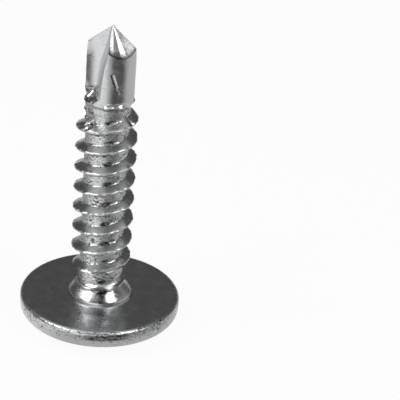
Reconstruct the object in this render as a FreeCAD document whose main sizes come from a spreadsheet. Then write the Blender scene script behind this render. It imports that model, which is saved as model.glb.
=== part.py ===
"""Self-drilling, self-tapping screw with a washer head and a cross recess, standing on its head.

One piece of steel wire: the head is forged, the thread is rolled and the drill point is pinched from it.
Millimetres. +Z runs from the head to the tip, and the origin is the middle of the head's outer face.
"""
import FreeCAD, Part
import Sketcher
import os
import re

# Driving dimensions. Heights on the neck and thread are counted from the bearing face under the head,
# and lengths of the drill point from its tip. Where head and shank run inside each other, the inner one
# stays deeper than the other's surface by the cover.
SIZES = {
    # Head
    "head_height": 2.0,
    "flange_diameter": 10.5,
    "flange_rim_height": 1.15,
    "flange_face_rise": 0.25,
    "boss_base_diameter": 8.4,
    "boss_top_diameter": 6.8,
    "rim_round": 0.45,
    "rim_edge_bevel": 0.1,
    "boss_edge_bevel": 0.15,
    # Neck
    "neck_diameter": 2.9,
    "neck_length": 1.2,
    "neck_fillet": 0.65,
    "neck_taper_length": 1.5,
    # Thread
    "thread_pitch": 1.41,
    "thread_major_diameter": 3.9,
    "thread_root_diameter": 2.7,
    "thread_angle": 55.0,
    "thread_crest_width": 0.1,
    "runout_diameter": 3.2,
    "runout_start": 0.55,
    "runout_knee": 0.9,
    "runout_end": 3.1,
    "entry_length": 0.65,
    "waist_diameter": 2.76,
    "waist_length": 0.2,
    "cover": 0.05,
    # Drill point
    "under_head_length": 18.7,
    "drill_diameter": 3.1,
    "drill_length": 4.8,
    "drill_chamfer_length": 0.4,
    "groove_overrun": 0.18,
    "groove_stop_angle": 30.0,
    "point_angle": 87.0,
    "chisel_azimuth": 36.0,
    "lip_azimuth": -13.6,
    "flute_length": 4.45,
    "flute_middle": 2.4,
    "flute_end_length": 0.35,
    "flute_web": 0.07,
    "flute_web_at_middle": 0.68,
    "flute_web_at_end": 0.92,
    "flute_wall_angle": 21.7,
    "flute_valley_round": 0.12,
    # Cross recess
    "recess_span": 4.4,
    "recess_wing_width": 1.0,
    "recess_depth": 2.05,
    "recess_bottom_span": 2.3,
    "recess_bottom_wing_width": 0.8,
    "recess_corner_round": 0.6,
    "recess_cone_diameter": 1.4,
    "recess_cone_depth": 0.3,
}

# The thread groove runs a little way up the drill, and counts as many whole turns as it takes to start
# inside the head. Its last turn stops short by an angle.
GROOVE_LENGTH = "(under_head_length - drill_length + groove_overrun)"
GROOVE_TURNS = f"ceil({GROOVE_LENGTH} / thread_pitch + 0.5)"
GROOVE_START = f"head_height + {GROOVE_LENGTH} - thread_pitch * {GROOVE_TURNS}"


def size(expression):
    """Writes each size in an expression as its cell in the sheet."""
    return re.sub(r"[a-z_]+", lambda word: f"Sizes.{word[0]}" if word[0] in SIZES else word[0], expression)


def value_of(feature, expression):
    """What an expression of sizes comes to."""
    return float(feature.evalExpression(size(expression)))


def make_sheet(doc):
    """Keeps every driving dimension in one sheet, under its own name."""
    sheet = doc.addObject("Spreadsheet::Sheet", "Sizes")
    for row, (name, value) in enumerate(SIZES.items(), start=1):
        sheet.set(f"A{row}", name)
        sheet.set(f"B{row}", str(value))
        sheet.setAlias(f"B{row}", name)
    doc.recompute()


def make_body(doc, label):
    body = doc.addObject("PartDesign::Body", label)
    body.Label = label
    return body


def make_sketch(body, name, plane_role, height="0", turn="0"):
    """A sketch on one of the body's own planes, raised to a height and turned about the screw's axis."""
    sketch = body.newObject("Sketcher::SketchObject", name)
    plane = next(feature for feature in body.Origin.OriginFeatures if feature.Role == plane_role)
    sketch.AttachmentSupport = [(plane, "")]
    sketch.MapMode = "FlatFace"
    up = FreeCAD.Vector(0, 0, 1) if plane_role == "XY_Plane" else FreeCAD.Vector(0, 1, 0)
    sketch.AttachmentOffset = FreeCAD.Placement(FreeCAD.Vector(), FreeCAD.Rotation(up, 1))
    sketch.setExpression("AttachmentOffset.Base.z", size(height))
    sketch.setExpression("AttachmentOffset.Rotation.Angle", size(turn))
    return sketch


def draw_outline(sketch, corners, rounds=None):
    """A closed outline of straight lines with some corners rounded.

    Each corner is a pair of expressions, across and up. rounds gives the radius of a corner by its number.
    """
    points = [FreeCAD.Vector(value_of(sketch, x), value_of(sketch, y), 0) for x, y in corners]
    following = points[1:] + points[:1]
    lines = sketch.addGeometry([Part.LineSegment(a, b) for a, b in zip(points, following)], False)
    for line, next_line in zip(lines, lines[1:] + lines[:1]):
        sketch.addConstraint(Sketcher.Constraint("Coincident", line, 2, next_line, 1))
    for line, point, (x, y) in zip(lines, points, corners):
        place_corner(sketch, line, "DistanceX", point.x, x)
        place_corner(sketch, line, "DistanceY", point.y, y)
    for line, radius in (rounds or {}).items():
        sketch.fillet(line, 1, value_of(sketch, radius), True, True)
        arc = sketch.GeometryCount - 2
        number = sketch.addConstraint(Sketcher.Constraint("Radius", arc, value_of(sketch, radius)))
        sketch.renameConstraint(number, f"round_{line}")
        sketch.setExpression(f"Constraints.round_{line}", size(radius))


def place_corner(sketch, line, kind, value, expression):
    """Holds the start of a line at its expression, or on the axis where that is 0."""
    if expression == "0":
        axis = -2 if kind == "DistanceX" else -1
        sketch.addConstraint(Sketcher.Constraint("PointOnObject", line, 1, axis))
        return
    number = sketch.addConstraint(Sketcher.Constraint(kind, -1, 1, line, 1, value))
    name = f"{kind}_{line}"
    sketch.renameConstraint(number, name)
    sketch.setExpression(f"Constraints.{name}", size(expression))


def revolve(doc, body, name, corners, rounds=None, kind="PartDesign::Revolution"):
    """Turns a half profile, drawn as radius and height, once about the screw's axis."""
    profile = make_sketch(body, f"{name}_profile", "YZ_Plane")
    draw_outline(profile, corners, rounds)
    feature = body.newObject(kind, name)
    feature.Profile = profile
    feature.ReferenceAxis = (profile, ["V_Axis"])
    feature.Angle = 360
    doc.recompute()
    return feature


def make_shank(doc):
    """The threaded shank and the drill point's round blank, with one helical groove cut into it.

    The ridge between the groove's turns is the thread. It fades out where the shank narrows to the neck,
    and starts at a narrow waist below the drill.
    """
    body = make_body(doc, "shank")
    hidden_radius = "neck_diameter / 2 - cover"
    tip = "head_height + under_head_length"
    waist_end = f"{tip} - drill_length - drill_chamfer_length"
    waist_start = f"{waist_end} - waist_length"
    revolve(doc, body, "shank_blank", [
        ("0", "head_height / 2"),
        (hidden_radius, "head_height / 2"),
        (hidden_radius, "head_height + runout_start"),
        ("runout_diameter / 2", "head_height + runout_knee"),
        ("thread_major_diameter / 2", "head_height + runout_end"),
        ("thread_major_diameter / 2", f"{waist_start} - entry_length"),
        ("waist_diameter / 2", waist_start),
        ("waist_diameter / 2", waist_end),
        ("drill_diameter / 2", f"{tip} - drill_length"),
        ("drill_diameter / 2", tip),
        ("0", tip),
    ])

    half_gap = "(thread_pitch - thread_crest_width) / 2"
    slope = "tan(thread_angle / 2)"
    root = f"{half_gap} - (thread_major_diameter - thread_root_diameter) / 2 * {slope}"
    over_crest = f"thread_major_diameter / 2 + thread_crest_width / 4 / {slope}"
    half_top = "thread_pitch / 2 - thread_crest_width / 4"
    outside = f"{over_crest} + thread_pitch / 4"
    groove = make_sketch(body, "groove_profile", "XZ_Plane")
    draw_outline(groove, [
        (f"-({outside})", f"{GROOVE_START} - ({half_top})"),
        (f"-({over_crest})", f"{GROOVE_START} - ({half_top})"),
        ("-thread_root_diameter / 2", f"{GROOVE_START} - ({root})"),
        ("-thread_root_diameter / 2", f"{GROOVE_START} + ({root})"),
        (f"-({over_crest})", f"{GROOVE_START} + ({half_top})"),
        (f"-({outside})", f"{GROOVE_START} + ({half_top})"),
    ])

    helix = body.newObject("PartDesign::SubtractiveHelix", "thread_groove")
    helix.Profile = groove
    helix.ReferenceAxis = (groove, ["V_Axis"])
    helix.Mode = "pitch-turns-angle"
    helix.setExpression("Pitch", size("thread_pitch"))
    helix.setExpression("Turns", size(f"{GROOVE_TURNS} - groove_stop_angle / 360"))
    doc.recompute()
    return body


def make_head(doc, body):
    """The forged washer head and neck. A cone inside the thread carries the neck up to the root."""
    bearing = "head_height"
    rim = "head_height - flange_rim_height"
    neck_end = "head_height + neck_length"
    revolve(doc, body, "head", [
        ("0", "0"),
        ("boss_top_diameter / 2 - boss_edge_bevel", "0"),
        ("boss_top_diameter / 2", "boss_edge_bevel"),
        ("boss_base_diameter / 2", f"{rim} - flange_face_rise"),
        ("flange_diameter / 2", rim),
        ("flange_diameter / 2", f"{bearing} - rim_edge_bevel"),
        ("flange_diameter / 2 - rim_edge_bevel", bearing),
        ("neck_diameter / 2", bearing),
        ("neck_diameter / 2", neck_end),
        ("thread_root_diameter / 2 - cover", f"{neck_end} + neck_taper_length"),
        ("0", f"{neck_end} + neck_taper_length"),
    ], {4: "rim_round", 7: "neck_fillet"})


def join_shank(doc, body, shank):
    """Head and shank become one solid."""
    joined = body.newObject("PartDesign::Boolean", "head_and_shank")
    joined.Type = "Fuse"
    joined.setObjects([shank])
    body.Tip = joined
    doc.recompute()


def point_the_tip(doc, body):
    """Pinches the end to a roof-shaped chisel: two flat facets that meet in a ridge across the axis."""
    tip = "head_height + under_head_length"
    reach = "drill_diameter"
    eaves = f"{tip} - {reach} / tan(point_angle / 2)"
    over_roof = make_sketch(body, "point_profile", "XZ_Plane", turn="chisel_azimuth - 90")
    draw_outline(over_roof, [
        ("0", tip),
        (reach, eaves),
        (reach, f"{tip} + {reach}"),
        (f"-{reach}", f"{tip} + {reach}"),
        (f"-{reach}", eaves),
    ])
    pocket = body.newObject("PartDesign::Pocket", "point_facets")
    pocket.Profile = over_roof
    pocket.Midplane = True
    pocket.setExpression("Length", size("drill_diameter * 2"))
    doc.recompute()


def flute_section(body, name, below_tip, web):
    """One section across a flute. Its cutting face runs straight out, and its other wall leans away.

    The two meet in a rounded valley, at a distance of web from the axis.
    """
    height = f"head_height + under_head_length - ({below_tip})"
    sketch = make_sketch(body, name, "XY_Plane", height, "lip_azimuth")
    reach = "drill_diameter"
    draw_outline(sketch, [
        (f"-({web})", "0"),
        (f"-{reach} * 1.5", "0"),
        (f"-{reach} * 1.5", f"-{reach}"),
        (f"-({web}) + {reach} * tan(flute_wall_angle)", f"-{reach}"),
    ], {0: "flute_valley_round"})
    return sketch


def cut_flutes(doc, body):
    """Two flutes, half a turn apart. Each grows shallower away from the tip and then runs out."""
    past_tip = "drill_diameter / 6"
    web_growth = "(flute_web_at_middle - flute_web) / flute_middle"
    clear_of_blank = "drill_diameter / 2 / cos(flute_wall_angle) + flute_valley_round * 2"
    sections = [
        flute_section(body, "flute_past_tip", f"-{past_tip}", f"flute_web - {past_tip} * {web_growth}"),
        flute_section(body, "flute_in_middle", "flute_middle", "flute_web_at_middle"),
        flute_section(body, "flute_end", "flute_length", "flute_web_at_end"),
        flute_section(body, "flute_runout", "flute_length + flute_end_length", clear_of_blank),
    ]
    flute = body.newObject("PartDesign::SubtractiveLoft", "flute")
    flute.Profile = sections[0]
    flute.Sections = sections[1:]
    flute.Ruled = True
    doc.recompute()

    pair = body.newObject("PartDesign::PolarPattern", "flute_pair")
    pair.Originals = [flute]
    axis = next(feature for feature in body.Origin.OriginFeatures if feature.Role == "Z_Axis")
    pair.Axis = (axis, [""])
    pair.Angle = 360
    pair.Occurrences = 2
    body.Tip = pair
    doc.recompute()


def cross_section(body, name, height, span, width):
    """A plus sign: the end of one wing and the rounded corner beside it, turned a quarter four times."""
    sketch = make_sketch(body, name, "XY_Plane", height)
    quarter = [
        (f"{span} / 2", f"-{width} / 2"),
        (f"{span} / 2", f"{width} / 2"),
        (f"{width} / 2", f"{width} / 2"),
    ]
    corners = []
    for _ in range(4):
        corners += quarter
        quarter = [(f"-({y})", x) for x, y in quarter]
    draw_outline(sketch, corners, {number: "recess_corner_round" for number in (2, 5, 8, 11)})
    return sketch


def cut_recess(doc, body):
    """The cross recess: tapered wings with rounded corners between them, and a conical bottom."""
    mouth = cross_section(body, "recess_mouth", "0", "recess_span", "recess_wing_width")
    floor = cross_section(
        body, "recess_floor", "recess_depth", "recess_bottom_span", "recess_bottom_wing_width"
    )
    wings = body.newObject("PartDesign::SubtractiveLoft", "recess_wings")
    wings.Profile = mouth
    wings.Sections = [floor]
    wings.Ruled = True
    doc.recompute()

    revolve(doc, body, "recess_bottom", [
        ("0", "recess_depth / 2"),
        ("recess_cone_diameter / 2", "recess_depth"),
        ("0", "recess_depth + recess_cone_depth"),
    ], kind="PartDesign::Groove")


def check(doc, parts):
    """Stops the script if a feature failed or a part isn't one sound solid."""
    for feature in doc.Objects:
        if "Invalid" in feature.State or "Error" in feature.State:
            raise RuntimeError(f"{feature.Name} failed: {feature.State}")
    for part in parts:
        if part.Shape.isNull() or not part.Shape.isValid() or len(part.Shape.Solids) != 1:
            raise RuntimeError(f"{part.Label} isn't one sound solid")


def main():
    doc = FreeCAD.newDocument("self_drilling_screw")
    make_sheet(doc)
    shank = make_shank(doc)
    screw = make_body(doc, "screw")
    make_head(doc, screw)
    join_shank(doc, screw, shank)
    point_the_tip(doc, screw)
    cut_flutes(doc, screw)
    cut_recess(doc, screw)
    doc.recompute()
    check(doc, [screw])

    os.makedirs("parts", exist_ok=True)
    screw.Shape.exportStep(f"parts/{screw.Label}.step")
    print(f"{screw.Label}: {screw.Shape.Volume:.1f} mm3")


main()
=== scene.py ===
# %% [markdown]
# # A self-drilling screw in bright zinc
#
# The part is one forged piece of steel wire: a washer head with a cross recess, a rolled thread and a
# pinched drill point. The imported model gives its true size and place. This lesson builds the surface that
# the eye sees, with soft edges, a run-out thread, burrs and a plated finish, and photographs it.

import math

import bmesh
import bpy
import numpy as np
from mathutils import Matrix, Vector


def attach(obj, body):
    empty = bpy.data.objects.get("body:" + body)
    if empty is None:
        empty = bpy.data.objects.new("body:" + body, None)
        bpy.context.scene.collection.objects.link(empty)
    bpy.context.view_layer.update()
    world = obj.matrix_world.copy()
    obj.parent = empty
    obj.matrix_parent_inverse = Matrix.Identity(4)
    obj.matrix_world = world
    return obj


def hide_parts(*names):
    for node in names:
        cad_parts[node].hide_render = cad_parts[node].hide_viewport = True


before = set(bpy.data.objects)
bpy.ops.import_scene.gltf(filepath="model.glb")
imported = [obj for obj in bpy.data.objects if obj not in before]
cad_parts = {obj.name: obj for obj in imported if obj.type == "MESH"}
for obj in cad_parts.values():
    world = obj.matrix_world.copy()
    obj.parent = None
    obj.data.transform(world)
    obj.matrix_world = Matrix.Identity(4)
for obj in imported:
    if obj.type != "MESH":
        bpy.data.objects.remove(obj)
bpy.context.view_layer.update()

# %% [markdown]
# ## The camera
#
# The photograph looks down on the screw by 27 degrees and is turned a little. A long lens stands 100 mm
# away. The camera could be pointed by eye, but here its place was worked out from the thread, whose pitch
# is even, and from the flange, whose outline is a circle. The three lengths below say where the middle of
# the bearing face lies: to the left of the lens's line, below it, and in front of the lens.

# %% Camera
MM = 0.001
TURN = 2 * math.pi
HEAD_HEIGHT = 2.0

CAMERA_PITCH = math.radians(27.194)
CAMERA_ROLL = math.radians(4.788)
BEARING_FACE_SEEN_AT = Vector((-6.681, 5.995, 99.06))
LENS = 135
FILM_WIDTH = 36

pitched = Matrix((
    (1, 0, 0),
    (0, -math.sin(CAMERA_PITCH), -math.cos(CAMERA_PITCH)),
    (0, math.cos(CAMERA_PITCH), -math.sin(CAMERA_PITCH)),
))
rolled = Matrix.Rotation(CAMERA_ROLL, 3, "Z") @ pitched
across, down, forward = rolled
camera_place = (Vector((0, 0, HEAD_HEIGHT)) - rolled.transposed() @ BEARING_FACE_SEEN_AT) * MM

camera = bpy.data.objects.new("camera", bpy.data.cameras.new("camera"))
bpy.context.scene.collection.objects.link(camera)
camera.data.sensor_width = FILM_WIDTH
camera.data.lens = LENS
camera.data.clip_start = 5 * MM
camera.data.clip_end = 10
turned = Matrix((across, -down, -forward)).transposed()
camera.matrix_world = Matrix.Translation(camera_place) @ turned.to_4x4()
bpy.context.scene.camera = camera
print("camera stands", camera_place[:])

# %% [markdown]
# ## One grid for the whole screw
#
# The screw could be put together from a lathe shape, a spiral and cut cylinders, but joins would show on a
# mirror finish. Here it is one grid of points. Its columns run along the screw, each at its own azimuth,
# and its rows run round it. It starts in the middle of the recess, goes over the head and up the shank, and
# ends at the tip, so it is closed at both ends.
#
# Edges that run along the screw need a column of their own: the corners of the recess, the ridge of the
# chisel point, and the two cutting lips. At a lip the surface drops straight in towards the axis, so many
# columns share one azimuth there, and a share from 0 to 1 says how far down the drop each one is.

# %% Columns of the grid
EVEN_COLUMNS = 224
CHISEL_AZIMUTH = math.radians(36)
LIP_AZIMUTH = math.radians(166.4)
LIP_SHARES = np.array([0, 0.02, 0.06, 0.16, 0.32, 0.5, 0.68, 0.84, 0.94, 1.0])

RECESS_SPAN = 4.4
RECESS_WING = 1.0
RECESS_FLOOR_SPAN = 2.3
RECESS_FLOOR_WING = 0.8
RECESS_CORNER = 0.6


def wing_azimuths(span, wing):
    """Azimuths of one wing's corner and of the start and middle of the round beside it, in radians.

    The corner is half the wing's width out at half the span, and the round starts one radius further in.
    """
    corner = math.atan2(wing, span)
    round_start = math.atan2(wing / 2, wing / 2 + RECESS_CORNER)
    return [corner, round_start, TURN / 8]


def all_round(azimuths):
    """The same azimuths on both sides of all four wings, from 0 to a full turn."""
    one_side = np.array([0] + azimuths)
    both = np.concatenate([one_side, TURN / 4 - one_side[-2::-1]])
    return np.concatenate([both[:-1] + TURN / 4 * quarter for quarter in range(4)] + [[TURN]])


azimuths = np.linspace(0, TURN, EVEN_COLUMNS + 1)
edges = list(all_round(wing_azimuths(RECESS_SPAN, RECESS_WING)))
edges += [CHISEL_AZIMUTH, CHISEL_AZIMUTH + math.pi, LIP_AZIMUTH, LIP_AZIMUTH + math.pi]
for edge in edges:
    azimuths[np.abs(azimuths - edge).argmin()] = edge

is_lip = np.isin(azimuths, [LIP_AZIMUTH, LIP_AZIMUTH + math.pi])
copies = np.where(is_lip, len(LIP_SHARES), 1)
theta = np.repeat(azimuths, copies)
share = np.concatenate([LIP_SHARES if lip else np.zeros(1) for lip in is_lip])
compass = np.stack([np.cos(theta), np.sin(theta)], axis=-1)
print(len(theta), "columns")

# %% [markdown]
# ## The recess
#
# The driver bit's recess is a cross with rounded corners. Its walls lean inwards, and its floor ends in a
# small cone. It could be cut out of the head by a Boolean, but that leaves long thin faces, which shade
# badly. Here each column follows the cross's outline at the mouth and at the floor, with the corners of
# both outlines on the same columns, so that the walls between them stay flat.

# %% Recess rows
RECESS_DEPTH = 2.05
RECESS_CONE_RADIUS = 0.7
RECESS_CONE_DEPTH = 0.3
MOUTH_ROUND = 0.07
BOSS_TOP_RADIUS = 3.4
BOSS_EDGE_ROUND = 0.2


def cross_outline(azimuth, span, wing):
    """Distance from the axis to the outline of a cross with rounded inner corners.

    Each wing ends at half the span and its sides are half a wing's width away. Between two wings the outline
    is a circle about a point on the diagonal: the nearer crossing of the ray with it.
    """
    fold = np.abs((azimuth + TURN / 8) % (TURN / 4) - TURN / 8)
    end = span / 2 / np.cos(fold)
    side = wing / 2 / np.maximum(np.sin(fold), 1e-6)
    centre = (wing / 2 + RECESS_CORNER) * math.sqrt(2)
    apart = TURN / 8 - fold
    inside = np.maximum(RECESS_CORNER**2 - (centre * np.sin(apart)) ** 2, 0)
    corner = centre * np.cos(apart) - np.sqrt(inside)
    in_round = fold > math.atan2(wing / 2, wing / 2 + RECESS_CORNER)
    return np.where(in_round, corner, np.minimum(end, side))


def level_ring(plan, height):
    """A row of the grid from its plan: the same points, all at one height."""
    return np.concatenate([plan, np.full((len(plan), 1), height)], axis=-1)


def between(first, second, part):
    """Points part of the way from one row to another: the first, plus that part of their difference."""
    return first + (second - first) * part


floor_azimuths = np.interp(
    theta,
    all_round(wing_azimuths(RECESS_SPAN, RECESS_WING)),
    all_round(wing_azimuths(RECESS_FLOOR_SPAN, RECESS_FLOOR_WING)),
)
mouth = compass * cross_outline(theta, RECESS_SPAN, RECESS_WING)[:, None]
floor_compass = np.stack([np.cos(floor_azimuths), np.sin(floor_azimuths)], axis=-1)
floor_outline = floor_compass * cross_outline(
    floor_azimuths, RECESS_FLOOR_SPAN, RECESS_FLOOR_WING
)[:, None]
cone_edge = floor_compass * RECESS_CONE_RADIUS
disc_edge = compass * (BOSS_TOP_RADIUS - BOSS_EDGE_ROUND)
outward = disc_edge - mouth
outward /= np.linalg.norm(outward, axis=-1)[:, None]

# From the middle outwards: the cone, the floor, the walls, the round at the mouth and the flat disc.
recess_rows = [
    level_ring(floor_compass * radius, RECESS_DEPTH + RECESS_CONE_DEPTH * (1 - radius / RECESS_CONE_RADIUS))
    for radius in (0, 0.25, 0.5, RECESS_CONE_RADIUS)
]
for part in (0.06, 0.5, 0.94):
    recess_rows.append(level_ring(between(cone_edge, floor_outline, part), RECESS_DEPTH))
for part in (0.03, 0.2, 0.4, 0.6, 0.8, 1 - MOUTH_ROUND / RECESS_DEPTH):
    recess_rows.append(level_ring(between(floor_outline, mouth, part), RECESS_DEPTH * (1 - part)))
for angle in np.array([0.25, 0.5, 0.75, 1.0]) * TURN / 4:
    ring = mouth + outward * MOUTH_ROUND * (1 - math.cos(angle))
    recess_rows.append(level_ring(ring, MOUTH_ROUND * (1 - math.sin(angle))))
for part in (0.15, 0.4, 0.7, 0.96):
    recess_rows.append(level_ring(between(mouth, disc_edge, part), 0))
print(len(recess_rows), "recess rows")

# %% [markdown]
# ## The head
#
# The rest of the head is a wide flange with a boss on its outer face and a cone-shaped collar on the other.
# The Spin tool could make it. Here a profile is turned round the axis in the same way, but in the grid's own
# columns, so that its rows join the recess and the thread point by point. Every edge of a forging has a
# small radius. The radii are worth the points they cost, because they are what catches the light on bright
# metal.

# %% Head rows
FLANGE_RADIUS = 5.25
ROOT_RADIUS = 1.35
COLLAR_RADIUS = 2.12
COLLAR_FOOT = 0.24
COLLAR_HEIGHT = 0.95
NECK_RADIUS = 1.5
THREAD_FROM = HEAD_HEIGHT + 0.55
LONGEST_STEP = 0.35

# The neck's heights and radii. Past the last one there is no neck left, only the thread.
NECK_PROFILE = (
    HEAD_HEIGHT + np.array([COLLAR_FOOT, COLLAR_HEIGHT, 1.2, 2.7, 2.9]),
    [COLLAR_RADIUS, NECK_RADIUS, NECK_RADIUS, ROOT_RADIUS - 0.05, 0],
)

# Radius, height and rounding of each corner, from the boss round the rim to the place where the thread
# starts.
HEAD_CORNERS = [
    (BOSS_TOP_RADIUS - BOSS_EDGE_ROUND * 1.05, 0, 0),
    (BOSS_TOP_RADIUS, 0, BOSS_EDGE_ROUND),
    (4.15, 0.58, 0.3),
    (4.62, 0.66, 0.4),
    (FLANGE_RADIUS - 0.04, 0.93, 0.44),
    (FLANGE_RADIUS, HEAD_HEIGHT, 0.27),
    (COLLAR_RADIUS, HEAD_HEIGHT, 0.05),
    (COLLAR_RADIUS, HEAD_HEIGHT + COLLAR_FOOT, 0.3),
    (np.interp(THREAD_FROM, *NECK_PROFILE), THREAD_FROM, 0),
]


def rounded(corners):
    """A profile of straight lines with rounded corners.

    Each corner is radius, height and rounding. An arc that touches both lines starts and ends one tangent
    length from the corner, and its points are turned evenly about its centre.
    """
    points = [np.array(corners[0][:2])]
    for before, (radius, height, rounding), after in zip(corners, corners[1:], corners[2:]):
        corner = np.array([radius, height])
        back = np.array(before[:2]) - corner
        ahead = np.array(after[:2]) - corner
        back /= np.linalg.norm(back)
        ahead /= np.linalg.norm(ahead)
        half = math.acos(np.clip(back @ ahead, -1, 1)) / 2
        centre = corner + (back + ahead) / np.linalg.norm(back + ahead) * rounding / math.sin(half)
        start = corner + back * rounding / math.tan(half) - centre
        end = corner + ahead * rounding / math.tan(half) - centre
        steps = np.linspace(0, 1, 3 + int(rounding * 10))[:, None]
        towards = start * (1 - steps) + end * steps
        points.extend(centre + towards / np.linalg.norm(towards, axis=-1)[:, None] * rounding)
    points.append(np.array(corners[-1][:2]))
    return np.array(points)


def with_rows_between(profile, longest):
    """The same profile with more points, so that no two are further apart than the longest step.

    Each stretch is divided evenly, into its length over the longest step, rounded up.
    """
    lengths = np.linalg.norm(np.diff(profile, axis=0), axis=-1)
    pieces = np.maximum(np.ceil(lengths / longest), 1).astype(int)
    along = np.concatenate([start + np.arange(count) / count for start, count in enumerate(pieces)])
    along = np.append(along, len(pieces))
    corners = np.arange(len(profile))
    return np.stack([np.interp(along, corners, profile[:, axis]) for axis in (0, 1)], axis=-1)


head_profile = with_rows_between(rounded(HEAD_CORNERS), LONGEST_STEP)
head_rows = [level_ring(compass * radius, height) for radius, height in head_profile]
print(len(head_rows), "head rows")

# %% [markdown]
# ## The thread
#
# A rolled thread is a ridge that winds up the shank. A Screw modifier makes one from a profile, but neither
# its run-out nor its join with the drill. If the grid's rows were level, the ridge's sharp crest would
# cross them and look jagged. So here the rows climb with the thread: each row gains one pitch in one turn,
# and meets the row that starts one pitch higher. Where the threaded length ends, rows are held at that
# height, and the points that then coincide are merged.
#
# The radius at any azimuth and height is worked out from three shapes: the blank, which tapers at both
# ends, the groove that rolling leaves between the ridges, and the neck, which shows where it is the larger.

# %% Thread
TIP = 20.7
PITCH = 1.41
MAJOR_RADIUS = 1.95
DRILL_RADIUS = 1.55
FLANK = math.tan(math.radians(27.5))
CREST_HALF = 0.05
CREST_AT = 0.568
GROOVE_TOP = PITCH * 11
GROOVE_STOP = math.radians(150)
ROOT_ROUND = 0.11
WAIST_RADIUS = 1.38
THREAD_TO = 17.0

# Heights and radii of the wire before rolling: a short cone, the threaded length, a waist and the drill.
BLANK_PROFILE = (
    [THREAD_FROM, HEAD_HEIGHT + 0.9, HEAD_HEIGHT + 3.1, TIP - 6.05, TIP - 5.4, TIP - 5.2, TIP - 4.8],
    [1.4, 1.6, MAJOR_RADIUS, MAJOR_RADIUS, WAIST_RADIUS, WAIST_RADIUS, DRILL_RADIUS],
)

# Steps up one flank from the crest, in mm: close together at the crest, further apart in the root.
FLANK_STEPS = np.array([0, 0.025, 0.05, 0.085, 0.16, 0.24, 0.31, 0.36, 0.42, 0.52, 0.64])


def soft_min(first, second, blend):
    """The smaller of two, with the corner between them rounded: it dips by a quarter of the blend there."""
    near = np.maximum(blend - np.abs(first - second), 0) / blend
    return np.minimum(first, second) - near**2 * blend / 4


def soft_max(first, second, blend):
    """The larger of two, with the corner between them filled: it rises by a quarter of the blend there."""
    return -soft_min(-first, -second, blend)


def ramp(value, start, end):
    """0 up to the start, 1 from the end on, and a straight line between. The end may be the smaller one."""
    return np.clip((value - start) / (end - start), 0, 1)


def groove_radius(azimuth, height):
    """The rolled groove: the root radius, or more near the ridge, by the distance over the flank's slope.

    The ridge climbs one pitch in one turn. The groove stops before its last turn is half done: there and
    above it the radius is one more, which leaves the blank as it is.
    """
    climb = height - CREST_AT - PITCH * azimuth / TURN
    from_crest = np.abs((climb + PITCH / 2) % PITCH - PITCH / 2)
    wall = MAJOR_RADIUS - (from_crest - CREST_HALF) / FLANK
    groove = soft_max(wall, np.full_like(wall, ROOT_RADIUS), ROOT_ROUND)
    past_stop = ramp(azimuth, GROOVE_STOP, GROOVE_STOP + 0.1) * (climb > GROOVE_TOP - PITCH)
    return groove + np.maximum(past_stop, climb > GROOVE_TOP)


within_pitch = np.concatenate([FLANK_STEPS, PITCH - FLANK_STEPS[:0:-1]])
turns = np.arange(-1, math.ceil((THREAD_TO - THREAD_FROM) / PITCH) + 2)
first_crest = CREST_AT + PITCH * math.floor((THREAD_FROM - CREST_AT) / PITCH)
climbing = (first_crest + turns[:, None] * PITCH + within_pitch).ravel()
thread_heights = np.clip(climbing[:, None] + PITCH * theta / TURN, THREAD_FROM, THREAD_TO)
print(thread_heights.shape[0], "thread rows,", len(within_pitch), "in each pitch")

# %% [markdown]
# ## The drill point
#
# Dies pinch the wire's end into a drill: two flutes, half a turn apart, and a point like a small roof. Each
# flute has a flat cutting face, which runs straight in from the lip, and a second wall that leans away from
# it. The web between the flutes is thin at the tip and thick where the flutes run out.
#
# The flutes could be cut by a Boolean, but as a distance from the axis they are one short formula. Two
# facets end the point. Every column climbs to the height where its own facet cuts it and then runs inwards
# to the tip, so the edges are crisp. The dies leave the facets a little hollow and folded, and the folds
# show as white and dark wedges, because each one mirrors another part of the studio.

# %% Drill point
FLUTE_WALL = math.tan(math.radians(21.7))
FLUTE_EDGE_ROUND = 0.55
ROLLED_EDGE_ROUND = 0.05
NECK_JOIN_ROUND = 0.04

# Distances below the tip and the web there, from the axis to the wall. The last ones carry it out of the
# wire, to a radius that nothing reaches.
BEYOND_WIRE = 9
WEB_PROFILE = (
    [0, 0.5, 1.4, 2.4, 3.4, 4.35, 4.78, 4.8],
    [0.07, 0.2, 0.4, 0.68, 0.83, 0.92, 1.65, BEYOND_WIRE],
)


def flute_radius(azimuth, height):
    """Distance from the axis to the flute's second wall.

    The wall is a line that starts at the web on the lip's side and leans by its slope, so a ray at an angle
    past the lip meets it at the web over (cosine of the angle + slope times its sine).
    """
    past_lip = np.mod(azimuth - LIP_AZIMUTH, math.pi)
    web = np.interp(TIP - height, *WEB_PROFILE)
    spread = np.cos(past_lip) + np.sin(past_lip) * FLUTE_WALL
    return np.where(spread > 0.03, web / np.maximum(spread, 0.03), BEYOND_WIRE)


def surface_radius(azimuth, height):
    """The finished shank's radius: blank, groove and flute take away, and the neck shows where larger."""
    blank = np.interp(height, *BLANK_PROFILE)
    rolled = soft_min(blank, groove_radius(azimuth, height), ROLLED_EDGE_ROUND)
    fluted = soft_min(rolled, flute_radius(azimuth, height), FLUTE_EDGE_ROUND)
    return soft_max(fluted, np.interp(height, *NECK_PROFILE), NECK_JOIN_ROUND)


def shank_radius(height):
    """The radius in every column. At a lip it goes from the land's side to the flute's side by the share."""
    before = surface_radius(theta - 1e-6, height)
    after = surface_radius(theta + 1e-6, height)
    return before * (1 - share) + after * share


def shank_rows(heights):
    """Rows of the grid from their heights: each point's radius is worked out, then turned to its azimuth."""
    return np.concatenate([shank_radius(heights)[..., None] * compass, heights[..., None]], axis=-1)


print("the web is", WEB_PROFILE[1][0], "mm at the tip and", WEB_PROFILE[1][5], "mm where the flutes end")

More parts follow.
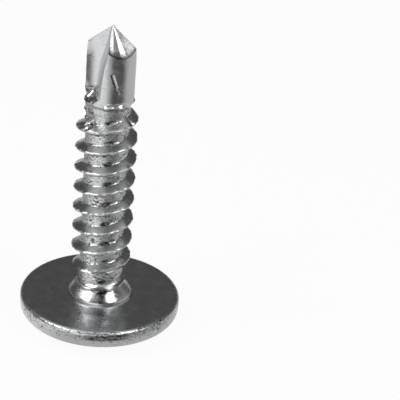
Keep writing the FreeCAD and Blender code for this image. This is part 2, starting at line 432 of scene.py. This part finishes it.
# %% Drill rows and facets
POINT_SLOPE = math.tan(math.radians(87 / 2))
EDGE_SOFTNESS = 0.03
DRILL_ROWS = 76
EAVES_ROUNDS = 200

# How far a facet stands above a flat one, as a share of the radius: azimuths in degrees and shares. The
# flare is added near the eaves only.
FACET_FOLDS = (
    [84, 86, 98, 119, 134, 152, 166],
    [-0.125, -0.12, -0.085, -0.125, -0.07, -0.072, -0.07],
)
FACET_FLARE = ([140, 166], [0, 0.045])
FACET_STEPS = np.array([0.03, 0.07, 0.14, 0.24, 0.36, 0.48, 0.6, 0.72, 0.84, 0.94, 1.0])

# The eaves are where the facets meet the sides. Their height depends on the radius there, and the radius on
# the height, so each is worked out from the other until they settle.
roof = np.abs(np.sin(theta - CHISEL_AZIMUTH)) / POINT_SLOPE
eaves = TIP - DRILL_RADIUS * roof
for _ in range(EAVES_ROUNDS):
    eaves = TIP - shank_radius(eaves) * roof
drill_top = eaves - EDGE_SOFTNESS * (roof > 0.05)
drill_heights = THREAD_TO + (drill_top - THREAD_TO) * np.linspace(0, 1, DRILL_ROWS)[:, None]
drill_rows = shank_rows(drill_heights)

inward = 1 - FACET_STEPS[:, None]
facet_radii = shank_radius(eaves) * inward
half_turn = np.degrees(theta) % 180
fold = np.interp(half_turn, *FACET_FOLDS) + np.interp(half_turn, *FACET_FLARE) * inward**2
facet_heights = TIP - facet_radii * roof + facet_radii * fold * (1 - inward**14)
facet_rows = np.concatenate([facet_radii[..., None] * compass, facet_heights[..., None]], axis=-1)
print("lip corners at", eaves[np.argmax(is_lip)], "drill rows", len(drill_rows))

# %% [markdown]
# ## What forging and rolling leave behind
#
# Nothing on a cheap screw is quite true. The pinching dies leave a hooked lip, a burr where the drill ends,
# lumps and a crumpled end where a flute runs out, and a seam down to the first turn of the thread. That
# turn has a torn flank and a nick in its crest, the other crests are uneven, and tumbling in the bath adds
# a few scratches.
#
# A bump map would only tilt the light. These are moved points, because some of them show in the outline.
# Each mark is a bell curve, or random ripples under a bell curve, at an azimuth and a height.

# %% Ripples, humps and scratches


def ripples(points, wavelength, seed):
    """A smooth random field with a spread of about 1: many sine waves in random directions, added up."""
    chance = np.random.default_rng(seed)
    waves = chance.normal(size=(3, 24))
    waves *= TURN / wavelength / np.linalg.norm(waves, axis=0)
    return np.sin(points @ waves + chance.uniform(0, TURN, 24)).sum(axis=-1) / math.sqrt(12)


def hump(distance, half_width):
    """A bell curve: 1 in the middle, and e to the power of -1, about a third, one half width away."""
    return np.exp(-((distance / half_width) ** 2))


def beside(azimuth, height, mark_azimuth, mark_height):
    """Distances from a mark round the drill and up it, in mm. The mark's azimuth is in degrees."""
    past_mark = (azimuth - math.radians(mark_azimuth) + math.pi) % TURN - math.pi
    return past_mark * DRILL_RADIUS, height - mark_height


def scratch(azimuth, height, start, end, half_width):
    """1 along a straight scratch from start to end, each an azimuth in degrees and a height in mm."""
    around, up = beside(azimuth, height, *start)
    run = math.radians(end[0] - start[0]) * DRILL_RADIUS
    rise = end[1] - start[1]
    along = np.clip((around * run + up * rise) / (run**2 + rise**2), 0, 1)
    return hump(np.hypot(around - along * run, up - along * rise), half_width)


print("one half width away, a hump is", round(float(hump(1, 1)), 2), "high")

# %% Marks of the making
# Azimuths are in degrees, heights and sizes in mm. Ripples have a size, a wavelength and a seed.
CREST_RIPPLES = (0.014, 0.4, 1)
THREAD_RIPPLES = (0.004, 0.6, 2)
SHANK_RIPPLES = (0.0025, 1.4, 3)

# Azimuth, height, half width, then the ripples' wavelength, seed and size.
TORN_PATCHES = [(215, 14.7, 0.9, 0.4, 4, 0.07), (190, 16.1, 0.7, 0.35, 6, 0.035)]
CRUMPLES = [(200, 16.15, 0.8, 0.5, 7, 0.08), (222, 14.4, 0.6, 0.4, 8, 0.06)]
TORN_HALF_HEIGHT = 0.5
CRUMPLE_HALF_HEIGHT = 0.3

# Azimuth, height and half length of each wrinkle, which climbs a little and is narrow.
WRINKLES = [(250, 14.74, 0.42), (244, 14.36, 0.45)]
WRINKLE_CLIMB = 0.12
WRINKLE_HALF_WIDTH = 0.07
WRINKLE_SIZE = 0.05

# The drill ends in an uneven ridge with two burrs on it.
RIDGE_HEIGHT = TIP - 4.82
RIDGE_SIZE = 0.06
BURRS = [(272, TIP - 4.86), (303, TIP - 4.86)]
BURR_SIZE = 0.16
BURR_HALF_WIDTH = 0.34
BURR_HALF_HEIGHT = 0.15

# Azimuth, height, half width and size. The last lump is the nick: it goes inwards.
LUMPS = [
    (176, 16.2, 0.14, 0.16), (187, 16.62, 0.1, 0.12), (196, 15.95, 0.1, 0.1), (183, 15.7, 0.12, 0.08),
    (188, 15.5, 0.1, 0.1), (331, 14.62, 0.12, -0.12),
]
SEAM = (203, TIP - 5.3)
SEAM_SIZE = 0.06
SEAM_HALF_WIDTH = 0.06
SEAM_HALF_LENGTH = 0.7

# Both ends of each scratch, as azimuths and heights. The third is an undercut under the last ridge, above the
# collar. Each gets a painted shade line beside it.
SCRATCHES = [
    ((279.5, 18.0), (290, 17.22)), ((289, 17.05), (297, 16.85)), ((250, 2.85), (291, 3.01)),
    ((204, 16.0), (201, 14.45)), ((170, 16.45), (196, 16.5)),
]
SCRATCH_DEPTH = 0.05
SCRATCH_HALF_WIDTH = 0.045
print(len(LUMPS), "lumps,", len(WRINKLES), "wrinkles and", len(SCRATCHES), "scratches")

# %% Moving the points
MARKS_FADE = 0.3


def torn(points, patches, half_height):
    """Random ripples under a bell curve at each patch, added up, in mm."""
    azimuth = np.arctan2(points[..., 1], points[..., 0])
    total = 0.0
    for patch_azimuth, patch_height, half_width, wavelength, seed, size in patches:
        around, up = beside(azimuth, points[..., 2], patch_azimuth, patch_height)
        total += size * ripples(points, wavelength, seed) * hump(around, half_width) * hump(up, half_height)
    return total


def marks(points):
    """How far each point of the shank stands out from the true surface, in mm: all its marks added up."""
    azimuth = np.arctan2(points[..., 1], points[..., 0])
    radius = np.hypot(points[..., 0], points[..., 1])
    height = points[..., 2]
    threaded = ramp(height, THREAD_FROM + 0.35, THREAD_FROM + 0.65) * ramp(height, TIP - 4.9, TIP - 5.1)
    crest = ramp(radius, 1.65, 1.9) * threaded
    out = torn(points, TORN_PATCHES, TORN_HALF_HEIGHT)
    for where, (size, wavelength, seed) in (
        (crest, CREST_RIPPLES), (threaded, THREAD_RIPPLES), (1, SHANK_RIPPLES),
    ):
        out += size * ripples(points, wavelength, seed) * where

    for wrinkle_azimuth, wrinkle_height, half_length in WRINKLES:
        around, up = beside(azimuth, height, wrinkle_azimuth, wrinkle_height)
        across_wrinkle = hump(up - WRINKLE_CLIMB * around, WRINKLE_HALF_WIDTH)
        out += WRINKLE_SIZE * hump(around, half_length) * across_wrinkle

    uneven = np.clip(0.45 + 0.5 * ripples(points, 1.6, 5), 0, 1)
    out += RIDGE_SIZE * hump(height - RIDGE_HEIGHT, 0.1) * uneven
    for burr in BURRS:
        around, up = beside(azimuth, height, *burr)
        out += BURR_SIZE * hump(around, BURR_HALF_WIDTH) * hump(up, BURR_HALF_HEIGHT)

    for lump_azimuth, lump_height, half_width, size in LUMPS:
        around, up = beside(azimuth, height, lump_azimuth, lump_height)
        out += size * hump(np.hypot(around, up), half_width)
    around, up = beside(azimuth, height, *SEAM)
    out += SEAM_SIZE * hump(around, SEAM_HALF_WIDTH) * hump(up, SEAM_HALF_LENGTH) * (radius < 1.7)
    for start, end in SCRATCHES:
        out -= SCRATCH_DEPTH * scratch(azimuth, height, start, end, SCRATCH_HALF_WIDTH)
    return out


# The marks fade out towards the neck and the eaves, and leave the cutting faces alone. The crumples move
# points up and down, because the flute's end is so flat there that moving them outwards would show nothing.
shank = np.concatenate([shank_rows(thread_heights), drill_rows])
off_the_lips = share < 0.01
heights = shank[..., 2]
stand_out = marks(shank) * off_the_lips
stand_out *= ramp(heights, THREAD_FROM, THREAD_FROM + MARKS_FADE) * ramp(heights, eaves, eaves - MARKS_FADE)
lift = torn(shank, CRUMPLES, CRUMPLE_HALF_HEIGHT) * off_the_lips
shank[..., :2] += stand_out[..., None] * compass
shank[..., 2] += lift
print("marks stand out by", round(stand_out.max(), 3), "and go in by", round(-stand_out.min(), 3), "mm")

# %% Hooked lips
LIP_HOOK = 0.2
LIP_TOP = TIP - 1.25


def hook_lips(points):
    """Turns the outer part of each cutting face forwards, so that the face is hollow and its lip hooked.

    The way forwards grows with the square of the distance past the web, and the point turns by that way over
    its radius.
    """
    x, y, height = points[..., 0], points[..., 1], points[..., 2]
    radius = np.hypot(x, y)
    forwards = LIP_HOOK * ramp(radius, 0.9, 1.55) ** 2 * np.repeat(is_lip, copies)
    forwards *= ramp(height, TIP - 4.7, TIP - 4.3) * ramp(height, LIP_TOP, LIP_TOP - 0.9)
    angle = forwards / np.maximum(radius, 0.1)
    turned_x = x * np.cos(angle) - y * np.sin(angle)
    turned_y = x * np.sin(angle) + y * np.cos(angle)
    return np.stack([turned_x, turned_y, height], axis=-1)


drill = hook_lips(np.concatenate([shank, facet_rows]))
print("the lips are hooked forwards by", LIP_HOOK, "mm")

# %% [markdown]
# ## From grid to mesh
#
# Four neighbouring points of the grid make a face. At the tip, in the middle of the recess, where the
# thread's rows are held at one height, and between the last column and the first, points coincide. A Weld
# modifier could merge them, but merging them in the mesh itself keeps the finished shape closed wherever it
# goes.
#
# A forging is never quite in line, so the head and the drill each sit a little off the thread's axis.

# %% Mesh from the grid
MERGE_WITHIN = 2e-7
SHARP_ANGLE = math.radians(38)
OFF_AXIS = ([HEAD_HEIGHT, HEAD_HEIGHT + 1.5, TIP - 6, TIP - 5], [0.08, 0, 0, 0.06])


def grid_mesh(name, grid):
    """A closed mesh: four neighbouring grid points make a face, and points that coincide become one."""
    rows, columns = grid.shape[:2]
    index = np.arange(rows * columns).reshape(rows, columns)
    neighbours = [index[:-1, :-1], index[:-1, 1:], index[1:, 1:], index[1:, :-1]]
    faces = np.stack(neighbours, axis=-1).reshape(-1, 4)
    mesh = bpy.data.meshes.new(name)
    mesh.from_pydata(grid.reshape(-1, 3) * MM, [], faces)
    shape = bmesh.new()
    shape.from_mesh(mesh)
    bmesh.ops.remove_doubles(shape, verts=shape.verts, dist=MERGE_WITHIN)
    bmesh.ops.dissolve_degenerate(shape, edges=shape.edges, dist=1e-8)
    open_edges = sum(1 for edge in shape.edges if len(edge.link_faces) != 2)
    print(name, len(shape.faces), "faces, open or doubled edges:", open_edges)
    shape.to_mesh(mesh)
    shape.free()
    mesh.polygons.foreach_set("use_smooth", np.ones(len(mesh.polygons), bool))
    mesh.set_sharp_from_angle(angle=SHARP_ANGLE)
    return mesh


grid = np.concatenate([np.array(recess_rows), np.array(head_rows), drill])
grid[..., 0] += np.interp(grid[..., 2], *OFF_AXIS)
screw = bpy.data.objects.new("screw_surface", grid_mesh("screw_surface", grid))
bpy.context.scene.collection.objects.link(screw)
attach(screw, "root")
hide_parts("screw")

# %% [markdown]
# ## Where painted shade and dark reflections go
#
# Some dark places have a place of their own, and are painted into the colour: dark reflections and shade down
# one side of the screw, a shade line along each scratch, and one where a facet ends. They could be painted on
# a UV map by hand. Here they are worked out once for each point of the mesh and kept as attributes, which the
# material reads.

# %% Attributes for the material
DARK_REFLECTION_SIDE = 281
DARK_REFLECTION_HALF_WIDTH = 0.42
SHADE_BESIDE_SCRATCH = 2
SHADE_HALF_WIDTH = 0.06
EAVES_SHADE = 0.8
EAVES_SHADE_HALF_WIDTH = 0.04

corners = np.empty(len(screw.data.vertices) * 3)
screw.data.vertices.foreach_get("co", corners)
x, y, z = corners.reshape(-1, 3).T / MM
turned_by = np.arctan2(y, x)

# Painted shade lies 2 degrees beside each scratch, and along the eaves on the land, not on the flute walls.
from_eaves = z - np.interp(turned_by % TURN, theta, eaves)
on_land = ramp(np.hypot(x, y), 1.2, 1.35)
shaded = EAVES_SHADE * hump(from_eaves, EAVES_SHADE_HALF_WIDTH) * on_land
for start, end in SCRATCHES:
    beside_start = (start[0] - SHADE_BESIDE_SCRATCH, start[1])
    beside_end = (end[0] - SHADE_BESIDE_SCRATCH, end[1])
    shaded += scratch(turned_by, z, beside_start, beside_end, SHADE_HALF_WIDTH)

# Painted dark reflections and shade lie above the crests in the thread, and anywhere below it. The material
# narrows that to bands.
above_crest = (z - CREST_AT - PITCH * turned_by / TURN) % PITCH
painted_dark_reflection = np.where(z < HEAD_HEIGHT + 1, 1, hump(above_crest - 0.44, 0.14))
painted_dark_reflection *= hump(beside(turned_by, 0, DARK_REFLECTION_SIDE, 0)[0], DARK_REFLECTION_HALF_WIDTH)
for name, values in (("painted_shade_lines", shaded), ("painted_dark_reflection", painted_dark_reflection)):
    screw.data.attributes.new(name, "FLOAT", "POINT").data.foreach_set("value", values)
    print(name, "reaches", round(values.max(), 2))

# %% [markdown]
# ## Bright zinc plating
#
# The screw is barrel plated: thousands of them tumble in the bath, so the zinc is bright but scuffed, with
# small pits. Dark reflections and shade on one side are painted into its colour too. A metal shows mostly
# what it reflects. Its grey comes from the zinc, and the roughness and the bumps decide how sharply the
# studio is seen in it.
#
# One evenly rough metal would look like plastic. Here noise of a few real sizes varies the polish, and masks
# by height and by distance from the axis keep the wear on the roots and the rim, and the painted dark
# reflections on the thread, the rim and the collar.

# %% A colour and a node
SMOOTH = {"interpolation_type": "SMOOTHSTEP"}


def linear(hex_colour):
    """An sRGB hex colour as linear red, green, blue and alpha.

    A channel is (itself + 0.055) over 1.055, to the power of 2.4, or itself over 12.92 where it is very dark.
    """
    channels = [int(hex_colour[i:i + 2], 16) / 255 for i in (1, 3, 5)]
    return [c / 12.92 if c <= 0.04045 else ((c + 0.055) / 1.055) ** 2.4 for c in channels] + [1.0]


def node(tree, kind, inputs=(), **settings):
    """Adds a node, gives it its settings, and sets each input or links it to another node's output.

    The inputs are a list in the sockets' order, or a dictionary by name. A node stands for its first output.
    """
    made = tree.nodes.new("ShaderNode" + kind)
    for name, value in settings.items():
        setattr(made, name, value)
    for name, value in inputs.items() if isinstance(inputs, dict) else enumerate(inputs):
        if isinstance(value, bpy.types.Node):
            value = value.outputs[0]
        if isinstance(value, bpy.types.NodeSocket):
            tree.links.new(value, made.inputs[name])
        else:
            made.inputs[name].default_value = value
    return made


ZINC_GREY = linear("#C5C6C7")
# Black for the pits and stains, and for the painted shade and dark reflections.
PIT_AND_PAINTED_SHADE_BLACK = linear("#28292B")
WHITE = linear("#FFFFFF")
print("zinc is", [round(channel, 3) for channel in ZINC_GREY[:3]], "in linear light")

# %% Zinc: places on the screw
# Heights in mm where each band starts, is full, begins to fade and ends.
BANDS = {
    "thread": (2.9, 3.3, 15.4, 16.0),
    "rim": (1.38, 1.52, 1.78, 1.86),
    "collar": (2.15, 2.3, 2.85, 3.0),
    "collar_top": (2.62, 2.76, 2.9, 3.0),
}

# Bright zinc from a tumbling barrel: it mirrors the lamps, but softly and in patches, and its colour holds
# painted shade and dark reflections.
zinc = bpy.data.materials.new("bright_zinc_barrel_plated")
zinc.use_nodes = True
tree = zinc.node_tree
tree.nodes.clear()
on_screw = node(tree, "TexCoord").outputs["Object"]
height = node(tree, "SeparateXYZ", [on_screw]).outputs["Z"]
from_axis = node(tree, "VectorMath", [on_screw, (1, 1, 0)], operation="MULTIPLY")
radius = node(tree, "VectorMath", [from_axis], operation="LENGTH").outputs["Value"]

band = {}
for name, (start, full, fading, end) in BANDS.items():
    rising = node(tree, "MapRange", [height, start * MM, full * MM, 0, 1], **SMOOTH)
    falling = node(tree, "MapRange", [height, fading * MM, end * MM, 1, 0], **SMOOTH)
    band[name] = node(tree, "Math", [rising, falling], operation="MULTIPLY")

near_root = node(tree, "MapRange", [radius, 1.42 * MM, 1.6 * MM, 1, 0], **SMOOTH)
in_root = node(tree, "Math", [near_root, band["thread"]], operation="MULTIPLY")
far_out = node(tree, "MapRange", [radius, 4.95 * MM, 5.15 * MM, 0, 1], **SMOOTH)
up_the_rim = node(tree, "MapRange", [height, 1.2 * MM, 1.6 * MM, 0.2, 1], **SMOOTH)
on_rim = node(tree, "Math", [far_out, up_the_rim], operation="MULTIPLY")
worn = node(tree, "Math", [in_root, on_rim], operation="MAXIMUM")
print("bands on the screw:", *band)

# %% Zinc: noise and polish
# Grain size in mm, detail, roughness, and how flat each pattern is. Real grain and pits are a few
# hundredths of a millimetre, too fine to show, so both are drawn as coarse as they need to be.
PATTERNS = {
    "mottle": (0.7, 4.0, 0.6, 1.0),
    "grain": (0.16, 2.0, 0.5, 1.0),
    "patches": (0.9, 2.0, 0.5, 1.0),
    "specks": (0.15, 4.0, 0.7, 1.6),
    "clusters": (0.42, 5.0, 0.75, 1.6),
    "streaks": (0.6, 4.0, 0.6, 6.0),
}
pattern = {}
for name, (size, detail, coarseness, flatness) in PATTERNS.items():
    squashed = node(tree, "VectorMath", [on_screw, (1, 1, flatness)], operation="MULTIPLY")
    pattern[name] = node(tree, "TexNoise", {
        "Vector": squashed, "Scale": 1 / (size * MM), "Detail": detail, "Roughness": coarseness,
    })

patchy = node(tree, "MapRange", [pattern["mottle"], 0.3, 0.7, 0.14, 0.3])
far_from_root = node(tree, "MapRange", [radius, 1.84 * MM, 1.92 * MM, 0, 0.06], **SMOOTH)
rubbed = node(tree, "Math", [far_from_root, band["thread"]], operation="MULTIPLY")
polish = node(tree, "Math", [patchy, rubbed], operation="ADD")
print("patterns in mm:", {name: row[0] for name, row in PATTERNS.items()})

# %% Zinc: pits, stains and painted dark reflections
in_patches = node(tree, "MapRange", [pattern["patches"], 0.42, 0.58, 0.35, 1], **SMOOTH)
where_worn = node(tree, "MapRange", [worn, 0, 1, 0.15, 1], **SMOOTH)
pitted = node(tree, "Math", [in_patches, where_worn], operation="MULTIPLY")
hollows = node(tree, "MapRange", [pattern["specks"], 0.52, 0.59, 0, 1], **SMOOTH)
pits = node(tree, "Math", [hollows, pitted], operation="MULTIPLY")
blots = node(tree, "MapRange", [pattern["clusters"], 0.585, 0.64, 0, 0.9], **SMOOTH)
stains = node(tree, "Math", [blots, worn], operation="MULTIPLY")

# Painted dark reflections and shade are wide in the thread, on the rim and at the collar's top, and a narrow
# line on the collar.
painted_dark_amount = node(tree, "Attribute", attribute_name="painted_dark_reflection").outputs["Fac"]
wide_bands = band["thread"]
for name in ("rim", "collar_top"):
    wide_bands = node(tree, "Math", [wide_bands, band[name]], operation="MAXIMUM")
wide_side = node(tree, "MapRange", [painted_dark_amount, 0.2, 0.7, 0, 1], **SMOOTH)
narrow_side = node(tree, "MapRange", [painted_dark_amount, 0.7, 0.95, 0, 0.9], **SMOOTH)
wide = node(tree, "Math", [wide_side, wide_bands], operation="MULTIPLY")
narrow = node(tree, "Math", [narrow_side, band["collar"]], operation="MULTIPLY")
whole = node(tree, "Math", [wide, narrow], operation="MAXIMUM")
broken = node(tree, "MapRange", [pattern["clusters"], 0.46, 0.52, 0.5, 1], **SMOOTH)
painted_dark_layer = node(tree, "Math", [whole, broken], operation="MULTIPLY")

darkened = pits
# Pits and stains are the zinc's own. The shade lines and the last layer are painted shade and dark
# reflections.
for layer in (stains, node(tree, "Attribute", attribute_name="painted_shade_lines").outputs["Fac"], painted_dark_layer):
    darkened = node(tree, "Math", [darkened, layer], operation="MAXIMUM")
colour = node(tree, "Mix", {
    "Factor": darkened, "A": ZINC_GREY, "B": PIT_AND_PAINTED_SHADE_BLACK,
}, data_type="RGBA").outputs["Result"]
print("zinc has", len(tree.nodes), "nodes so far")

# %% Zinc: bumps and surface
grain_strength = node(tree, "MapRange", [worn, 0, 1, 0.14, 0.4], **SMOOTH)
streak_strength = node(tree, "Math", [worn, 0.45], operation="MULTIPLY")
grain_bump = node(tree, "Bump", {
    "Height": pattern["grain"], "Strength": grain_strength, "Distance": 0.02 * MM,
})
streak_bump = node(tree, "Bump", {
    "Height": pattern["streaks"], "Strength": streak_strength, "Distance": 0.05 * MM, "Normal": grain_bump,
})
pit_bump = node(tree, "Bump", {
    "Height": pits, "Strength": 0.6, "Distance": 0.02 * MM, "Normal": streak_bump,
}, invert=True)
metal = node(tree, "BsdfPrincipled", {
    "Base Color": colour, "Metallic": 1.0, "Roughness": polish, "Normal": pit_bump,
})
node(tree, "OutputMaterial", {"Surface": metal})
screw.data.materials.append(zinc)
print(zinc.name, "has", len(tree.nodes), "nodes")

# %% [markdown]
# ## The floor
#
# The screw stands on white paper. More light could make it white, but that would bleach the screw too. So
# the paper's own material gives the camera and the metal a nearly white floor, and keeps enough of the matt
# surface to hold the screw's soft shadow.

# %% Floor
FLOOR_SIZE = 3.0
FLOOR_GLOW_SHARE = 0.93
floor_corners = [(side, back, 0) for side, back in ((-1, -1), (1, -1), (1, 1), (-1, 1))]
paper_sheet = bpy.data.meshes.new("floor")
paper_sheet.from_pydata(np.array(floor_corners) * FLOOR_SIZE / 2, [], [(0, 1, 2, 3)])
floor = bpy.data.objects.new("floor", paper_sheet)
bpy.context.scene.collection.objects.link(floor)

# Matt white paper: no gloss at all, so that nothing is mirrored in it.
paper = bpy.data.materials.new("white_paper_floor")
paper.use_nodes = True
tree = paper.node_tree
tree.nodes.clear()
rays = node(tree, "LightPath").outputs
seen = node(tree, "Math", [rays["Is Camera Ray"], rays["Is Glossy Ray"]], operation="MAXIMUM")
amount = node(tree, "Math", [seen, FLOOR_GLOW_SHARE], operation="MULTIPLY")
matt = node(tree, "BsdfDiffuse", {"Color": linear("#F2F2F2")})
white = node(tree, "Emission", {"Color": WHITE, "Strength": 1.0})
node(tree, "OutputMaterial", {"Surface": node(tree, "MixShader", [amount, matt, white])})
paper_sheet.materials.append(paper)
print("the floor is", FLOOR_SIZE, "m wide")

# %% [markdown]
# ## Cards round the screw
#
# A photographer lays grey and black cards beside bright metal, because it looks flat with only white to
# mirror. Single cards would show their edges, so here they are one ring on the floor that only reflections
# can see. It is black to the right of the camera's side, which gives the shank its dark stripe, light to
# the left, and grey elsewhere.

# %% Cards
CARD_RADII = np.array([4.3, 6, 9, 14, 25, 50, 100]) * MM
CARD_HEIGHT = 0.05 * MM
ring_angles = np.linspace(0, TURN, 97)
ring_points = np.stack([
    CARD_RADII[:, None] * np.cos(ring_angles),
    CARD_RADII[:, None] * np.sin(ring_angles),
    np.full((len(CARD_RADII), len(ring_angles)), CARD_HEIGHT),
], axis=-1)
order = np.arange(ring_points[..., 0].size).reshape(ring_points.shape[:2])
quads = np.stack([order[:-1, :-1], order[1:, :-1], order[1:, 1:], order[:-1, 1:]], axis=-1).reshape(-1, 4)
card_mesh = bpy.data.meshes.new("grey_cards")
card_mesh.from_pydata(ring_points.reshape(-1, 3), [], quads)
cards = bpy.data.objects.new("grey_cards", card_mesh)
bpy.context.scene.collection.objects.link(cards)
for kind in ("camera", "diffuse", "transmission", "volume_scatter", "shadow"):
    setattr(cards, f"visible_{kind}", False)
print("cards", len(quads), "faces, from", CARD_RADII[0], "to", CARD_RADII[-1], "m")

# %% Brightness of the cards
# Each fade goes from one bearing in degrees, or one distance in mm, to another, and from one level to
# another. Bearings are from the camera's side, to the right.
BEARING_FADES = {
    "left_light": (-100, -60, 0.5, 1.22),
    "into_head_gap": (-50, -20, 0, 1),
    "out_of_head_gap": (80, 110, 1, 0),
    "out_of_black": (57, 94, 0, 0.6),
    "near_head": (-60, -20, 0.95, 0.68),
}
DISTANCE_FADES = {
    "black": (16, 28, 0.36, 0.08),
    "black_thins": (16, 30, 0.65, 1),
    "beyond_head": (7.6, 8.8, 0, 1),
    "gap_starts": (7.7, 8.1, 0, 1),
    "gap_ends": (9.2, 10, 1, 0),
}
GAP_LEVEL = 0.06
INTO_BLACK_FROM = -28
INTO_BLACK_TO = 22

# Matt card: nothing of it is seen but its brightness, in the metal.
grey_card = bpy.data.materials.new("matt_grey_card")
grey_card.use_nodes = True
tree = grey_card.node_tree
tree.nodes.clear()
on_floor = node(tree, "TexCoord").outputs["Object"]
floor_place = node(tree, "SeparateXYZ", [on_floor]).outputs
towards_camera = node(tree, "Math", [floor_place["Y"], -1.0], operation="MULTIPLY")
bearing = node(tree, "Math", [floor_place["X"], towards_camera], operation="ARCTAN2")
distance = node(tree, "VectorMath", [on_floor], operation="LENGTH").outputs["Value"]
fade = {
    name: node(tree, "MapRange", [bearing, math.radians(start), math.radians(end), low, high], **SMOOTH)
    for name, (start, end, low, high) in BEARING_FADES.items()
}
fade.update({
    name: node(tree, "MapRange", [distance, start * MM, end * MM, low, high], **SMOOTH)
    for name, (start, end, low, high) in DISTANCE_FADES.items()
})

into_black = node(tree, "MapRange", [
    bearing, math.radians(INTO_BLACK_FROM), math.radians(INTO_BLACK_TO), 1.0, fade["black"],
], **SMOOTH)
left = node(tree, "Math", [fade["left_light"], into_black], operation="MULTIPLY")
right = node(tree, "Math", [fade["out_of_black"], fade["black_thins"]], operation="MULTIPLY")
far_card = node(tree, "Math", [left, right], operation="ADD")
gap = node(tree, "Math", [fade["gap_starts"], fade["gap_ends"]], operation="MULTIPLY")
for name in ("into_head_gap", "out_of_head_gap"):
    gap = node(tree, "Math", [gap, fade[name]], operation="MULTIPLY")
near_or_far = node(tree, "Mix", {"Factor": fade["beyond_head"], "A": fade["near_head"], "B": far_card})
shown = node(tree, "Mix", {"Factor": gap, "A": near_or_far, "B": GAP_LEVEL})
node(tree, "OutputMaterial", {"Surface": node(tree, "Emission", {"Strength": shown})})
card_mesh.materials.append(grey_card)
print(grey_card.name, "has", len(tree.nodes), "nodes")

# %% [markdown]
# ## The room and the lamps
#
# Two soft boxes light the screw from the left and the right, and their mirror images are the white
# highlights on it. More lamps could draw more highlights, but they would cast more shadows too. The room
# does it without: it is bright low down in front and on the right, and overhead, and dark elsewhere, and
# the camera sees it white.

# %% Room
# What each part of the room reads, where its brightness starts and ends, and its level there.
ROOM_FADES = {
    "front": ("Y", -0.35, -0.9, 0, 1.2),
    "left_half": ("X", 0, 0.3, 1, 0.05),
    "right": ("X", 0.7, 0.95, 0, 0.45),
    "low": ("Z", 0.35, 0.6, 1, 0),
    "overhead": ("Z", 0.72, 0.96, 0.1, 0.75),
}
world = bpy.data.worlds.new("studio")
bpy.context.scene.world = world
world.use_nodes = True
tree = world.node_tree
tree.nodes.clear()
direction = node(tree, "SeparateXYZ", [node(tree, "TexCoord").outputs["Generated"]]).outputs
part = {
    name: node(tree, "MapRange", [direction[axis], start, end, low, high], **SMOOTH)
    for name, (axis, start, end, low, high) in ROOM_FADES.items()
}
front = node(tree, "Math", [part["front"], part["left_half"]], operation="MULTIPLY")
sides = node(tree, "Math", [front, part["right"]], operation="MAXIMUM")
low_sides = node(tree, "Math", [sides, part["low"]], operation="MULTIPLY")
brightness = node(tree, "Math", [low_sides, part["overhead"]], operation="ADD")
room = node(tree, "Background", {"Color": WHITE, "Strength": brightness})
backdrop = node(tree, "Background", {"Color": WHITE, "Strength": 1.0})
is_camera = node(tree, "LightPath").outputs["Is Camera Ray"]
node(tree, "OutputWorld", {"Surface": node(tree, "MixShader", [is_camera, room, backdrop])})
print("the room has", len(tree.nodes), "nodes")

# %% Lamps
LAMP_DISTANCE = 150
LAMPS_AIM_AT = Vector((0, 0, 8))


def soft_box(name, azimuth, elevation, width, height, power):
    """A rectangular lamp that faces the screw from an azimuth and elevation in degrees. Sizes are in mm."""
    lamp = bpy.data.lights.new(name, "AREA")
    lamp.shape = "RECTANGLE"
    lamp.size = width * MM
    lamp.size_y = height * MM
    lamp.energy = power
    around, up = math.radians(azimuth), math.radians(elevation)
    towards = Vector((math.cos(around) * math.cos(up), math.sin(around) * math.cos(up), math.sin(up)))
    made = bpy.data.objects.new(name, lamp)
    bpy.context.scene.collection.objects.link(made)
    made.location = (towards * LAMP_DISTANCE + LAMPS_AIM_AT) * MM
    made.rotation_euler = towards.to_track_quat("Z", "Y").to_euler()
    print(name, "stands at", made.location[:])


soft_box("left_soft_box", 207, 46, 100, 60, 0.1)
soft_box("right_soft_box", -34, 46, 60, 60, 0.065)
bpy.context.scene.view_settings.view_transform = "Standard"
